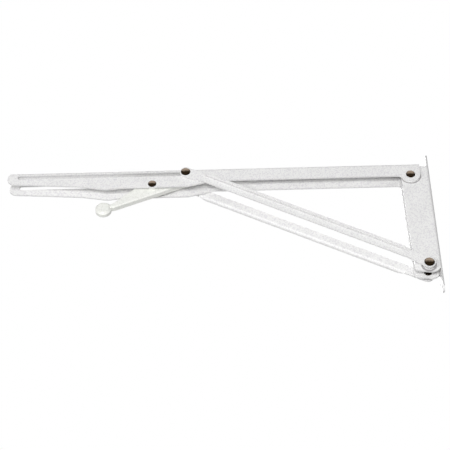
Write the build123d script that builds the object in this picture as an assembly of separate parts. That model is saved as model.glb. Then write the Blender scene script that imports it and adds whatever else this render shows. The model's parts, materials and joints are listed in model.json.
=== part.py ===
from build123d import *
import math
import os

# Folding bracket, opened out as a shelf support. All sizes in millimetres.
# The wall face is x = 0 and the bracket reaches towards -x. y runs across it and z is up.
# The origin is midway between the two wall screws, on the wall face.

# Linkage in the side plane
screw_spacing = 154.0
corner_below_screw = 23.0
corner_from_wall = 18.9
foot_below_corner = 111.6
foot_from_wall = 12.4
pin_from_corner = 218.4
catch_from_corner = 251.0

# Wall leg
leg_width = 12.6
leg_sheet = 2.0
leg_bend = 3.0
leg_front = 9.2
leg_front_low = 6.6
leg_crown = 8.0
leg_above_corner = 12.0
leg_below_foot = 4.9
leg_heel_drop = 8.6
leg_heel = 10.0
leg_shoulder = 3.0
leg_toe = 2.5
wall_hole = 5.0

# Table arm
arm_sheet = 1.8
arm_bend = 3.0
arm_nose = 9.6
arm_top = 14.0
arm_flange = 15.6
arm_belly = 24.2
arm_hip = 22.2
arm_brow = 19.6
arm_tip = 14.3
tip_round = 7.0
belly_from_corner = 295.5
hip_from_belly = 15.0
brow_from_belly = 24.0
hip_back = 216.0
ramp_end = 192.0
belly_round = 20.0
brow_round = 60.0
ramp_round = 8.0
lobe = 9.4
lobe_fillet = 4.5
slot_below_top = 6.2
slot_spare = 14.0
table_hole = 5.0
table_hole_from_corner = 45.0
table_hole_spacing = 150.0

# Strut bars
bar_sheet = 1.8
bar_bend = 2.4
bar_below_axis = 3.3
bar_tab = 5.8
bar_lip = 4.3
bar_lip_run = 8.0
bar_flat_at_foot = 20.0
bar_flat_at_pin = 16.0

# Rivets, pin, washers and spacers
rivet_shank = 5.0
rivet_tail = 7.6
rivet_tail_height = 1.2
corner_head = 9.0
foot_head = 9.8
top_head = 9.4
head_height = 1.1
head_flat = 0.8
pivot_shank = 4.0
pivot_head = 8.2
pivot_head_height = 0.9
pin_diameter = 5.0
washer_diameter = 9.0
spacer_diameter = 8.0

# Catch lever
lever_thick = 7.0
lever_finger = 15.5
lever_finger_thick = 8.0
lever_finger_out = 47.0
lever_finger_down = 24.8
lever_hub = 8.0
lever_heel = 9.4
lever_neck_out = 36.4
lever_neck_top = 17.6
lever_neck_bottom = 24.2
lever_back_out = 17.0
lever_crown_out = 8.0
lever_crown_up = 5.0
lever_tooth = 12.0
lever_tooth_depth = 5.2
lever_edge = 1.0
lever_finger_edge = 2.2
lever_web_fillet = 4.0
pivot_below_slot = 12.0

# Clearances
running = 0.05
side_play = 0.1
flange_play = 0.4
slot_play = 0.08
catch_drop = 0.6
catch_gap = 0.35
corner_gap = 0.6
head_play = 0.3

# Places worked out from the sizes above
corner_x = -corner_from_wall
corner_z = screw_spacing / 2 - corner_below_screw
foot_x = -foot_from_wall
foot_z = corner_z - foot_below_corner
top_z = corner_z + arm_top
slot_z = top_z - slot_below_top
pin_x = corner_x - pin_from_corner
pivot_x = corner_x - catch_from_corner
pivot_z = slot_z - pivot_below_slot

bar_run = foot_x - pin_x
bar_rise = slot_z - foot_z
bar_length = math.hypot(bar_run, bar_rise)
bar_slope = math.degrees(math.atan2(bar_rise, bar_run))

# Folded flat, the arm hangs beside the wall and the pin has run out along the slot
slot_over_corner = slot_z - corner_z
folded_offset = corner_from_wall - foot_from_wall + slot_over_corner
pin_folded = foot_below_corner + math.sqrt(bar_length**2 - folded_offset**2)
slot_half = pin_diameter / 2 + slot_play
slot_back = pin_from_corner - slot_half
slot_front = pin_folded + slot_half + slot_spare
arm_reach = slot_front + arm_nose

# Half widths across the bracket, from the middle outwards
leg_half = leg_width / 2
arm_inner = leg_half + flange_play
arm_half = arm_inner + arm_sheet
bar_inner = arm_half + pivot_head_height + head_play
bar_outer = bar_inner + bar_sheet
arm_depth = arm_belly + arm_sheet

# Half width of a cut that goes right across
cut_half = 2 * bar_outer


def nearest(sketch, x, y):
    """The sketch's vertex that is closest to a point."""
    return sketch.vertices().sort_by_distance(Vector(x, y, 0))[0]


def round_corners(sketch, corners):
    """Round the corners at the given points, each with its own radius."""
    for x, y, radius in corners:
        sketch = fillet(nearest(sketch, x, y), radius)
    return sketch


def side_prism(sketch, half_width):
    """A side outline (x, z) carried across the bracket, to half_width each way."""
    return extrude(Plane.XZ * sketch, amount=half_width, both=True)


def cross_pin(x, z, radius, half_length):
    """A round bar across the bracket."""
    return Pos(x, 0, z) * Rot(90, 0, 0) * Cylinder(radius, 2 * half_length)


def leg_front_at(z):
    """The leg's front edge, which leans towards the wall on its way down."""
    lean = (leg_front - leg_front_low) / foot_below_corner
    return corner_x - leg_front + lean * (corner_z - z)


def make_wall_leg():
    """A channel whose back is a long plate with round ends, with a screw hole at each end's centre."""
    depth = corner_from_wall + 2 * leg_front
    tall = screw_spacing + leg_width
    outer = Pos(-depth / 2, 0) * Rectangle(depth, leg_width)
    outer = round_corners(outer, [(0, leg_half, leg_bend), (0, -leg_half, leg_bend)])
    inner_half = leg_half - leg_sheet
    hollow = Pos(-leg_sheet - depth / 2, 0) * Rectangle(depth, 2 * inner_half)
    inner_bend = leg_bend - leg_sheet
    corners = [(-leg_sheet, inner_half, inner_bend), (-leg_sheet, -inner_half, inner_bend)]
    hollow = round_corners(hollow, corners)
    channel = extrude(outer - hollow, amount=tall / 2, both=True)
    plate = extrude(Plane.YZ * Rot(0, 0, 90) * SlotOverall(tall, leg_width), amount=depth, both=True)

    # Side outline of the flanges: a round shoulder about the corner pivot and a round heel at the wall
    low_z = foot_z - leg_below_foot
    heel_z = foot_z - leg_heel_drop
    high_z = corner_z + leg_above_corner
    step_x = corner_x + lobe + corner_gap
    shoulder_z = corner_z + leg_front
    shoulder_x = leg_front_at(shoulder_z)
    toe_x = leg_front_at(low_z)
    points = [
        (0, heel_z), (0, high_z), (step_x, high_z), (step_x, shoulder_z),
        (shoulder_x, shoulder_z), (toe_x, low_z),
    ]
    flange = make_face(Polyline(*points, close=True))
    flange = round_corners(flange, [
        (0, heel_z, leg_heel), (0, high_z, leg_shoulder), (step_x, high_z, corner_gap),
        (shoulder_x, shoulder_z, leg_crown), (toe_x, low_z, leg_toe),
    ])
    back = Pos(-leg_sheet / 2, 0) * Rectangle(leg_sheet, tall)
    leg = channel & plate & side_prism(flange + back, cut_half)

    for x, z in ((corner_x, corner_z), (foot_x, foot_z)):
        leg -= cross_pin(x, z, rivet_shank / 2, cut_half)
    for z in (-screw_spacing / 2, screw_spacing / 2):
        leg -= Pos(0, 0, z) * Rot(0, 90, 0) * Cylinder(wall_hole / 2, 2 * depth)
    return leg


def make_table_arm():
    """A channel, open below, whose flanges deepen round the slot and end in a lobe at the corner pivot."""
    def place(reach, depth):
        return (corner_x - reach, top_z - depth)

    outer = Pos(0, -arm_depth / 2) * Rectangle(2 * arm_half, arm_depth)
    outer = round_corners(outer, [(arm_half, 0, arm_bend), (-arm_half, 0, arm_bend)])
    hollow = Pos(0, -arm_sheet - arm_depth / 2) * Rectangle(2 * arm_inner, arm_depth)
    inner_bend = arm_bend - arm_sheet
    corners = [(arm_inner, -arm_sheet, inner_bend), (-arm_inner, -arm_sheet, inner_bend)]
    hollow = round_corners(hollow, corners)
    long = arm_reach + lobe
    section = Plane(origin=(corner_x - arm_reach, 0, top_z), x_dir=(0, 1, 0), z_dir=(1, 0, 0))
    channel = extrude(section * (outer - hollow), amount=long)

    brow = place(belly_from_corner + brow_from_belly, arm_brow)
    belly = place(belly_from_corner, arm_belly)
    hip = place(belly_from_corner - hip_from_belly, arm_hip)
    points = [
        place(-lobe, 0), place(arm_reach, 0), place(arm_reach, arm_tip), brow, belly, hip,
        place(hip_back, arm_hip), place(ramp_end, arm_flange),
        place(0, arm_flange), place(0, arm_top), place(-lobe, arm_top),
    ]
    outline = make_face(Polyline(*points, close=True)) + Pos(*place(0, arm_top)) * Circle(lobe)
    lobe_meets = math.sqrt(lobe**2 - (arm_flange - arm_top) ** 2)
    outline = round_corners(outline, [
        (*place(arm_reach, 0), tip_round), (*place(arm_reach, arm_tip), tip_round),
        (*brow, brow_round), (*belly, belly_round), (*hip, belly_round),
        (*place(hip_back, arm_hip), ramp_round), (*place(ramp_end, arm_flange), ramp_round),
        (*place(lobe_meets, arm_flange), lobe_fillet),
    ])
    arm = channel & side_prism(outline, cut_half)

    slot = SlotOverall(slot_front - slot_back, 2 * slot_half)
    arm -= side_prism(Pos(corner_x - (slot_back + slot_front) / 2, slot_z) * slot, cut_half)
    arm -= cross_pin(corner_x, corner_z, rivet_shank / 2 + running, cut_half)
    arm -= cross_pin(pivot_x, pivot_z, pivot_shank / 2, cut_half)
    for reach in (table_hole_from_corner, table_hole_from_corner + table_hole_spacing):
        arm -= Pos(corner_x - reach, 0, top_z) * Cylinder(table_hole / 2, 4 * arm_sheet)
    return arm


def make_strut(turned):
    """A bar with one edge folded outwards and a flat round tab at each end. The far one is turned over."""
    def tab(x, run):
        # The lower edge runs from the folded part to touch the round end
        corner = (abs(run), -bar_below_axis)
        turn = math.atan2(corner[1], corner[0]) - math.acos(bar_tab / math.hypot(*corner))
        touch = (math.copysign(bar_tab * math.cos(turn), run), bar_tab * math.sin(turn))
        edge = Polyline((0, bar_tab), (run, bar_tab), (run, -bar_below_axis), touch, (0, 0), close=True)
        outline = Pos(x, 0) * (make_face(edge) + Circle(bar_tab))
        plate = extrude(Plane.XZ * outline, amount=bar_sheet)
        hole = Rot(90, 0, 0) * Cylinder(rivet_shank / 2 + running, 4 * bar_sheet)
        return Pos(0, -bar_inner, 0) * (plate - Pos(x, 0, 0) * hole)

    lip_y = -bar_inner - bar_lip
    points = [
        (-bar_inner, -bar_below_axis), (-bar_inner, bar_tab), (lip_y, bar_tab), (lip_y, bar_tab - bar_sheet),
        (-bar_outer, bar_tab - bar_sheet), (-bar_outer, -bar_below_axis),
    ]
    section = make_face(Polyline(*points, close=True))
    section = round_corners(section, [(*points[1], bar_bend), (*points[4], bar_bend - bar_sheet)])
    pin_end = bar_flat_at_pin - bar_length
    foot_end = -bar_flat_at_foot
    start = Plane(origin=(pin_end, 0, 0), x_dir=(0, 1, 0), z_dir=(1, 0, 0))
    folded = extrude(start * section, amount=foot_end - pin_end)

    # The lip grows out of the flat tabs along slanted ends
    plan = Polyline(
        (pin_end, 0), (foot_end, 0), (foot_end, -bar_outer), (foot_end - bar_lip_run, lip_y),
        (pin_end + bar_lip_run, lip_y), (pin_end, -bar_outer), close=True,
    )
    folded &= extrude(make_face(plan), amount=cut_half, both=True)
    bar = folded + tab(0, -bar_flat_at_foot) + tab(-bar_length, bar_flat_at_pin)
    turn_over = Rot(180, 0, 0) if turned else Rot(0, 0, 0)
    return Pos(foot_x, 0, foot_z) * Rot(0, bar_slope, 0) * turn_over * bar


def head_above(radius, height):
    """A low head above z = 0, bevelled up to a flat crown."""
    return Pos(0, 0, height / 2) * Cone(radius, radius * head_flat, height)


def shank(radius, length):
    """A round shank from z = 0 down."""
    return Pos(0, 0, -length / 2) * Cylinder(radius, length)


def near_rivet(x, z, seat, head, length):
    """A rivet on the near side, with its head's seat at y = -seat and a set tail at its inner end."""
    body = head_above(head / 2, head_height) + shank(rivet_shank / 2, length)
    body += Pos(0, 0, -length) * shank(rivet_tail / 2, rivet_tail_height)
    return Pos(x, -seat, z) * Rot(90, 0, 0) * body


def near_corner_rivet():
    seat = arm_half + side_play
    return near_rivet(corner_x, corner_z, seat, corner_head, seat - leg_half + leg_sheet)


def near_foot_rivet():
    seat = bar_outer + side_play
    return near_rivet(foot_x, foot_z, seat, foot_head, seat - leg_half + leg_sheet)


def near_top_rivet():
    """The head that holds the bar on the slide pin, ending level with the bar's inner face."""
    body = head_above(top_head / 2, head_height) + shank(rivet_shank / 2, bar_sheet)
    return Pos(pin_x, -bar_outer, slot_z) * Rot(90, 0, 0) * body


def near_ring(x, z, inner, outer, hole, diameter):
    """A round washer or spacer between two distances from the middle, on the near side."""
    ring = Cylinder(diameter / 2, outer - inner) - Cylinder(hole / 2 + running, 2 * outer)
    return Pos(x, -(inner + outer) / 2, z) * Rot(90, 0, 0) * ring


def near_foot_spacer():
    return near_ring(foot_x, foot_z, leg_half, bar_inner - side_play, rivet_shank, spacer_diameter)


def near_pin_washer():
    return near_ring(pin_x, slot_z, arm_half + side_play, bar_inner - side_play, pin_diameter, washer_diameter)


def make_slide_pin():
    return cross_pin(pin_x, slot_z, pin_diameter / 2, bar_inner - side_play)


def make_catch_pivot():
    """A rivet through both flanges, with a low head at each end."""
    near = head_above(pivot_head / 2, pivot_head_height) + shank(pivot_shank / 2, arm_half)
    near = Pos(pivot_x, -arm_half, pivot_z) * Rot(90, 0, 0) * near
    return near + mirror(near, about=Plane.XZ)


def make_catch_lever():
    """A moulded lever: a finger disc at the free end and a tooth that swings up behind the slide pin."""
    reach = math.hypot(pin_x - pivot_x, slot_z - pivot_z) - pin_diameter / 2 - catch_gap
    tooth_up = slot_z - pivot_z - pin_diameter / 2 - catch_drop
    tooth_low = tooth_up - lever_tooth_depth
    tooth_tip = (math.sqrt(reach**2 - tooth_up**2), tooth_up)
    tooth_base = (math.sqrt(reach**2 - tooth_low**2), tooth_low)
    middle = math.atan2(tooth_up + tooth_low, tooth_tip[0] + tooth_base[0])
    neck_top = (-lever_neck_out, -lever_neck_top)
    neck_bottom = (-lever_neck_out, -lever_neck_bottom)
    finger = (-lever_finger_out, -lever_finger_down)
    edge = Polyline(
        tooth_base, (0, -lever_heel), neck_bottom, finger, neck_top, (-lever_back_out, 0),
        (-lever_crown_out, lever_crown_up), (tooth_tip[0] - lever_tooth, tooth_up), tooth_tip,
    )
    face = ThreePointArc(tooth_tip, (reach * math.cos(middle), reach * math.sin(middle)), tooth_base)
    plate = make_face(edge + face)
    plate = round_corners(plate, [
        (0, -lever_heel, lever_finger), (-lever_back_out, 0, lever_web_fillet),
        (-lever_crown_out, lever_crown_up, lever_web_fillet),
        (tooth_tip[0] - lever_tooth, tooth_up, lever_web_fillet),
    ])
    body = side_prism(plate, lever_thick / 2)
    rims = body.faces().filter_by(Axis.Y).edges()
    body = chamfer(rims, lever_edge)
    disc = side_prism(Pos(*finger) * Circle(lever_finger / 2), lever_finger_thick / 2)
    disc = chamfer(disc.edges().filter_by(GeomType.CIRCLE), lever_finger_edge)
    hub_half = arm_inner - side_play
    lever = body + disc + cross_pin(0, 0, lever_hub / 2, hub_half)
    lever -= cross_pin(0, 0, pivot_shank / 2 + running, cut_half)
    return Pos(pivot_x, 0, pivot_z) * lever


os.makedirs("parts", exist_ok=True)

single = {
    "wall_leg": make_wall_leg(),
    "table_arm": make_table_arm(),
    "slide_pin": make_slide_pin(),
    "catch_pivot": make_catch_pivot(),
    "catch_lever": make_catch_lever(),
    "near_strut": make_strut(turned=False),
    "far_strut": make_strut(turned=True),
}
paired = {
    "corner_rivet": near_corner_rivet(),
    "foot_rivet": near_foot_rivet(),
    "foot_spacer": near_foot_spacer(),
    "top_rivet": near_top_rivet(),
    "pin_washer": near_pin_washer(),
}
for name, solid in single.items():
    export_step(solid, f"parts/{name}.step")
for name, solid in paired.items():
    export_step(solid, f"parts/near_{name}.step")
    export_step(mirror(solid, about=Plane.XZ), f"parts/far_{name}.step")
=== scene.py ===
"""Looks of the folding bracket, seen from below: white powder coat, dark bronze rivets, a moulded lever."""
import json
import math

import bpy
from mathutils import Matrix, Vector

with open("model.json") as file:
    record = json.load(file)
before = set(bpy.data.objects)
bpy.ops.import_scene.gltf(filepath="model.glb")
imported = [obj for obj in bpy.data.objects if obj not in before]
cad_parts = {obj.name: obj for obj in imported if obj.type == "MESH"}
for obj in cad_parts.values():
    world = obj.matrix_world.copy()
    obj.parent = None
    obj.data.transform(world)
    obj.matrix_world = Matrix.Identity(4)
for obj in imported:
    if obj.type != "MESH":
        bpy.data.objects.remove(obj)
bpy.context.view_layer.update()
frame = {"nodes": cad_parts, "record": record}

# Camera, in metres, degrees and pixels of the square picture
picture_width = 450
sensor_width = 36.0
camera_elevation = -40.0
camera_azimuth = -0.2306
camera_roll = -1.2798
camera_distance = 1.4301
focal_pixels = 1499.8
target = Vector((-0.20018, 0.0, 0.00242))

# Lamps, in watts and metres, and the sky's strength
sky_light = 0.26
key_power = 15.0
key_size = 0.4
key_place = Vector((-1.75, -1.8, -0.9))
fill_power = 23.5
fill_size = 0.6
fill_place = Vector((-0.3, -1.57, -0.98))
back_power = 28.0
back_size = 1.2
back_place = Vector((-0.5, 1.5, 1.5))

# Floor, in metres, and the strength that lifts it towards white where it is seen
floor_level = -1.9
floor_size = 60.0
floor_lift = 0.55
floor_rough = 0.8

# Colours, each as the darker and the lighter end of a faint mottle, but for the bronze, whose ends are a
# painted reflection
white = (1.0, 1.0, 1.0)
coat_colours = (0.80, 0.80, 0.79), (0.84, 0.84, 0.83)
# The bronze runs from dark low down to pale high up each head: a painted reflection of shade below and
# light above
bronze_painted_reflection_colours = (0.022, 0.013, 0.006), (0.33, 0.26, 0.20)
zinc_colours = (0.52, 0.53, 0.54), (0.66, 0.66, 0.65)
lever_colours = (0.82, 0.83, 0.79), (0.85, 0.85, 0.82)
floor_colours = (0.85, 0.85, 0.85), (0.87, 0.87, 0.87)

# The stretch that noise mostly keeps to
noise_low = 0.3
noise_high = 0.7

# Specks of the coat and the lever: their size as noise, their stretch of it, and their darkest colours
grain_noise = {"scale": 680, "detail": 2, "rough": 0.6}
grain_start = 0.36
grain_end = 0.54
coat_specks = (0.85, 0.835, 0.87)
lever_specks = (0.88, 0.88, 0.87)

# Painted shade in the coat's folds: its reach in metres, and how open a place is where it starts to fade
# and ends
crease_shade_reach = 0.0015
crease_shade_samples = 16
crease_shade_start = 0.60
crease_shade_end = 0.95
crease_shade_dark = (0.40, 0.39, 0.39)

# Painted shadow rings on the leg, standing in for the shadows that the arm's and the strut's round ends
# cast on it, each as the joint at its middle and the radii where it starts, is darkest and ends
leg_shadow_rings = (("arm_fold", 0.0090, 0.0098, 0.0108), ("strut_fold", 0.0044, 0.0064, 0.0078))
# The radius that the rings' colours span, and how far from the middle plane the leg stays free of the
# painted shadow
shadow_ring_span = 0.02
shadow_ring_depth = 0.0053
shadow_ring_dark = (0.34, 0.32, 0.33)

# Painted reflection on the rivet heads by height, and painted shade at their edges by radius, both as
# shares of the piece's box
reflection_unevenness = 0.35
reflection_start = 0.58
reflection_end = 0.82
edge_shade_start = 0.38
edge_shade_end = 0.47
edge_shade_dark = (0.32, 0.30, 0.28)

box_middle = (0.5, 0.5, 0.5)
without_depth = (1.0, 0.0, 1.0)


def new_material(name):
    """A material, its node tree and the shader that it starts with."""
    material = bpy.data.materials.new(name)
    material.use_nodes = True
    tree = material.node_tree
    return material, tree, tree.nodes["Principled BSDF"]


def add_node(tree, kind, **values):
    """A node with the given input values, named as the node names them, with underscores for spaces."""
    node = tree.nodes.new(kind)
    for name, value in values.items():
        node.inputs[name.replace("_", " ")].default_value = value
    return node


def operate(tree, kind, operation, values):
    """A node that works on numbers, vectors or other nodes' outputs, in the order given."""
    node = tree.nodes.new(kind)
    node.operation = operation
    for socket, value in zip(node.inputs, values):
        if isinstance(value, bpy.types.NodeSocket):
            tree.links.new(value, socket)
        else:
            socket.default_value = value
    return node


def number(tree, operation, *values):
    """A sum or the like of numbers."""
    return operate(tree, "ShaderNodeMath", operation, values).outputs["Value"]


def length(tree, operation, *values):
    """A length or distance of vectors."""
    return operate(tree, "ShaderNodeVectorMath", operation, values).outputs["Value"]


def vector(tree, operation, *values):
    """A sum or the like of vectors or colours."""
    return operate(tree, "ShaderNodeVectorMath", operation, values).outputs["Vector"]


def place(tree, kind):
    """Places on a piece: Object is in metres, Generated in shares of its box."""
    return tree.nodes.new("ShaderNodeTexCoord").outputs[kind]


def part_of(tree, source, axis):
    """One number of a place."""
    node = tree.nodes.new("ShaderNodeSeparateXYZ")
    tree.links.new(source, node.inputs["Vector"])
    return node.outputs[axis]


def noise(tree, scale, detail=3.0, rough=0.5):
    """Noise in the part's own metres, so that its grain has a real size."""
    node = add_node(tree, "ShaderNodeTexNoise", Scale=scale, Detail=detail, Roughness=rough)
    tree.links.new(place(tree, "Object"), node.inputs["Vector"])
    return node.outputs["Fac"]


def ramp(tree, source, low, high, start=noise_low, end=noise_high):
    """A colour between two colours, as the source goes from start to end."""
    node = tree.nodes.new("ShaderNodeValToRGB")
    node.color_ramp.elements[0].position = start
    node.color_ramp.elements[0].color = (*low, 1)
    node.color_ramp.elements[1].position = end
    node.color_ramp.elements[1].color = (*high, 1)
    tree.links.new(source, node.inputs["Fac"])
    return node.outputs["Color"]


def span(tree, source, low, high):
    """A number between low and high, as noise goes over its usual stretch."""
    stretch = {"From_Min": noise_low, "From_Max": noise_high, "To_Min": low, "To_Max": high}
    node = add_node(tree, "ShaderNodeMapRange", **stretch)
    tree.links.new(source, node.inputs["Value"])
    return node.outputs["Result"]


def bump(tree, shader, source, strength, height):
    """A fine relief, with its height in metres."""
    node = add_node(tree, "ShaderNodeBump", Strength=strength, Distance=height)
    tree.links.new(source, node.inputs["Height"])
    tree.links.new(node.outputs["Normal"], shader.inputs["Normal"])


def grain(tree, low):
    """Fine specks, from the given colour up to white."""
    return ramp(tree, noise(tree, **grain_noise), low, white, grain_start, grain_end)


def painted_crease_shade(tree):
    """Painted shade: a colour that darkens in the piece's own folds, and not where another piece stands
    near.
    """
    node = add_node(tree, "ShaderNodeAmbientOcclusion", Distance=crease_shade_reach)
    node.only_local = True
    node.samples = crease_shade_samples
    return ramp(tree, node.outputs["AO"], crease_shade_dark, white, crease_shade_start, crease_shade_end)


def shadow_ring(tree, joint, start, darkest, end):
    """Painted shadow: a colour that darkens in a band about a joint's axis, round the edge of the round end
    that turns there.
    """
    joints = frame["record"]["behaviour"]["joints"]
    x, _, z = next(row["pos_m"] for row in joints if row["name"] == joint)
    spot = place(tree, "Object")
    radius = length(tree, "DISTANCE", vector(tree, "MULTIPLY", spot, without_depth), (x, 0.0, z))
    # Faces inside the leg are moved past the painted shadow's end, so that only the outer faces show it
    inside = number(tree, "LESS_THAN", number(tree, "ABSOLUTE", part_of(tree, spot, "Y")), shadow_ring_depth)
    share = number(tree, "ADD", number(tree, "DIVIDE", radius, shadow_ring_span), inside)
    node = tree.nodes.new("ShaderNodeValToRGB")
    stops = node.color_ramp.elements
    stops[0].position, stops[1].position = start / shadow_ring_span, end / shadow_ring_span
    stops[0].color = stops[1].color = (*white, 1)
    stops.new(darkest / shadow_ring_span).color = (*shadow_ring_dark, 1)
    tree.links.new(share, node.inputs["Fac"])
    return node.outputs["Color"]


def white_coat(name, rings=()):
    """Satin white powder coat, with specks, painted shade in its folds, any painted shadows it is given and
    a faint orange peel.
    """
    material, tree, shader = new_material(name)
    colour = ramp(tree, noise(tree, scale=55, detail=4), *coat_colours)
    colour = vector(tree, "MULTIPLY", colour, grain(tree, coat_specks))
    # Painted shade darkens the coat in its own folds
    colour = vector(tree, "MULTIPLY", colour, painted_crease_shade(tree))
    # Painted shadows round joints, where the coat is given any
    for values in rings:
        colour = vector(tree, "MULTIPLY", colour, shadow_ring(tree, *values))
    tree.links.new(colour, shader.inputs["Base Color"])
    tree.links.new(span(tree, noise(tree, scale=300), low=0.46, high=0.56), shader.inputs["Roughness"])
    bump(tree, shader, noise(tree, scale=900, detail=2), strength=0.25, height=0.0004)
    shader.inputs["Specular IOR Level"].default_value = 0.3
    return material


def bronze_rivet():
    """Dark bronze, with a painted reflection that makes the upper half of each head paler and painted shade
    that darkens it most at its edge.
    """
    material, tree, shader = new_material("bronze_rivet")
    spot = place(tree, "Generated")
    from_middle = vector(tree, "SUBTRACT", spot, box_middle)
    radius = length(tree, "LENGTH", vector(tree, "MULTIPLY", from_middle, without_depth))
    uneven = noise(tree, scale=420, detail=4, rough=0.6)
    # Painted reflection: each head paler towards its top, as if lit from above
    reflection_level = number(tree, "MULTIPLY_ADD", uneven, reflection_unevenness, part_of(tree, spot, "Z"))
    tone = ramp(tree, reflection_level, *bronze_painted_reflection_colours, reflection_start, reflection_end)
    # Painted shade: each head darkest at its edge
    edge_shade = ramp(tree, radius, white, edge_shade_dark, edge_shade_start, edge_shade_end)
    tree.links.new(vector(tree, "MULTIPLY", tone, edge_shade), shader.inputs["Base Color"])
    tree.links.new(span(tree, noise(tree, scale=800), low=0.42, high=0.56), shader.inputs["Roughness"])
    bump(tree, shader, noise(tree, scale=1500, detail=2), strength=0.2, height=0.0003)
    shader.inputs["Metallic"].default_value = 1.0
    return material


def zinc_steel():
    """Zinc plate with a faint mottle."""
    material, tree, shader = new_material("zinc_steel")
    tree.links.new(ramp(tree, noise(tree, scale=500), *zinc_colours), shader.inputs["Base Color"])
    tree.links.new(span(tree, noise(tree, scale=900), low=0.25, high=0.42), shader.inputs["Roughness"])
    bump(tree, shader, noise(tree, scale=1800, detail=2), strength=0.15, height=0.0002)
    shader.inputs["Metallic"].default_value = 1.0
    return material


def lever_plastic():
    """White moulded plastic with a fine matt grain."""
    material, tree, shader = new_material("lever_plastic")
    tone = ramp(tree, noise(tree, scale=90), *lever_colours)
    colour = vector(tree, "MULTIPLY", tone, grain(tree, lever_specks))
    tree.links.new(colour, shader.inputs["Base Color"])
    tree.links.new(span(tree, noise(tree, scale=700), low=0.42, high=0.54), shader.inputs["Roughness"])
    bump(tree, shader, noise(tree, scale=1600, detail=2), strength=0.2, height=0.0003)
    return material


def seen_directly(tree):
    """One where the camera, gloss or glass looks at a surface, and nought where it lights another."""
    rays = tree.nodes.new("ShaderNodeLightPath").outputs
    seen = number(tree, "MAXIMUM", rays["Is Camera Ray"], rays["Is Glossy Ray"])
    return number(tree, "MAXIMUM", seen, rays["Is Transmission Ray"])


def floor_finish():
    """A plain pale floor, lifted towards white where it is seen, which keeps its shadows."""
    material, tree, shader = new_material("floor_finish")
    tone = ramp(tree, noise(tree, scale=3), *floor_colours)
    tree.links.new(tone, shader.inputs["Base Color"])
    tree.links.new(tone, shader.inputs["Emission Color"])
    lift = number(tree, "MULTIPLY", seen_directly(tree), floor_lift)
    tree.links.new(lift, shader.inputs["Emission Strength"])
    shader.inputs["Roughness"].default_value = floor_rough
    return material


def dress_nodes():
    """Each node gets the finish that the record names for it, and the leg its painted shadows round its
    joints.
    """
    # The leg's coat carries painted shadows round the arm's and the strut's round ends
    shadow_ringed_coat = white_coat("shadow_ringed_coat", leg_shadow_rings)
    finishes = {
        "white_coat": white_coat("white_coat"),
        "bronze_rivet": bronze_rivet(),
        "zinc_steel": zinc_steel(),
        "lever_plastic": lever_plastic(),
    }
    for row in frame["record"]["subparts"]:
        piece = frame["nodes"][row["node"]]
        finish = shadow_ringed_coat if row["node"] == "wall_leg" else finishes[row["material_slot"]]
        piece.data.materials.clear()
        piece.data.materials.append(finish)


def make_floor():
    """A level square under the bracket, wide enough that its edges lie far off."""
    half = floor_size / 2
    corners = [(x, y, floor_level) for x, y in ((-half, -half), (half, -half), (half, half), (-half, half))]
    mesh = bpy.data.meshes.new("floor")
    mesh.from_pydata(corners, [], [(0, 1, 2, 3)])
    mesh.materials.append(floor_finish())
    floor = bpy.data.objects.new("floor", mesh)
    bpy.context.scene.collection.objects.link(floor)


def make_world():
    """Soft even light, with a white background for the camera, gloss and glass."""
    world = bpy.data.worlds.new("studio")
    world.use_nodes = True
    tree = world.node_tree
    tree.nodes.clear()
    light = add_node(tree, "ShaderNodeBackground", Color=(*white, 1), Strength=sky_light)
    backdrop = add_node(tree, "ShaderNodeBackground", Color=(*white, 1), Strength=1.0)
    mix = tree.nodes.new("ShaderNodeMixShader")
    tree.links.new(seen_directly(tree), mix.inputs["Fac"])
    tree.links.new(light.outputs["Background"], mix.inputs[1])
    tree.links.new(backdrop.outputs["Background"], mix.inputs[2])
    output = tree.nodes.new("ShaderNodeOutputWorld")
    tree.links.new(mix.outputs["Shader"], output.inputs["Surface"])
    bpy.context.scene.world = world


def make_lamp(name, power, size, spot):
    """A round soft lamp, aimed at the bracket."""
    lamp = bpy.data.lights.new(name, "AREA")
    lamp.shape = "DISK"
    lamp.size = size
    lamp.energy = power
    holder = bpy.data.objects.new(name, lamp)
    holder.location = spot
    holder.rotation_euler = (target - spot).to_track_quat("-Z", "Y").to_euler()
    bpy.context.scene.collection.objects.link(holder)


def make_camera():
    """A camera below the bracket, set by its direction, distance and focal length."""
    elevation = math.radians(-camera_elevation)
    azimuth = math.radians(camera_azimuth)
    roll = math.radians(camera_roll)
    level = math.cos(elevation)
    forward = Vector((math.sin(azimuth) * level, math.cos(azimuth) * level, math.sin(elevation)))
    right = Vector((math.cos(azimuth), -math.sin(azimuth), 0))
    up = right.cross(forward)
    turned_right = right * math.cos(roll) + up * math.sin(roll)
    turned_up = up * math.cos(roll) - right * math.sin(roll)
    lens = bpy.data.cameras.new("camera")
    lens.sensor_width = sensor_width
    lens.lens = focal_pixels * sensor_width / picture_width
    holder = bpy.data.objects.new("camera", lens)
    turn = Matrix((turned_right, turned_up, -forward)).transposed().to_4x4()
    holder.matrix_world = Matrix.Translation(target - forward * camera_distance) @ turn
    bpy.context.scene.collection.objects.link(holder)
    bpy.context.scene.camera = holder


dress_nodes()
make_floor()
make_world()
make_lamp("key", key_power, key_size, key_place)
make_lamp("fill", fill_power, fill_size, fill_place)
make_lamp("back", back_power, back_size, back_place)
make_camera()
bpy.context.scene.view_settings.view_transform = "Standard"
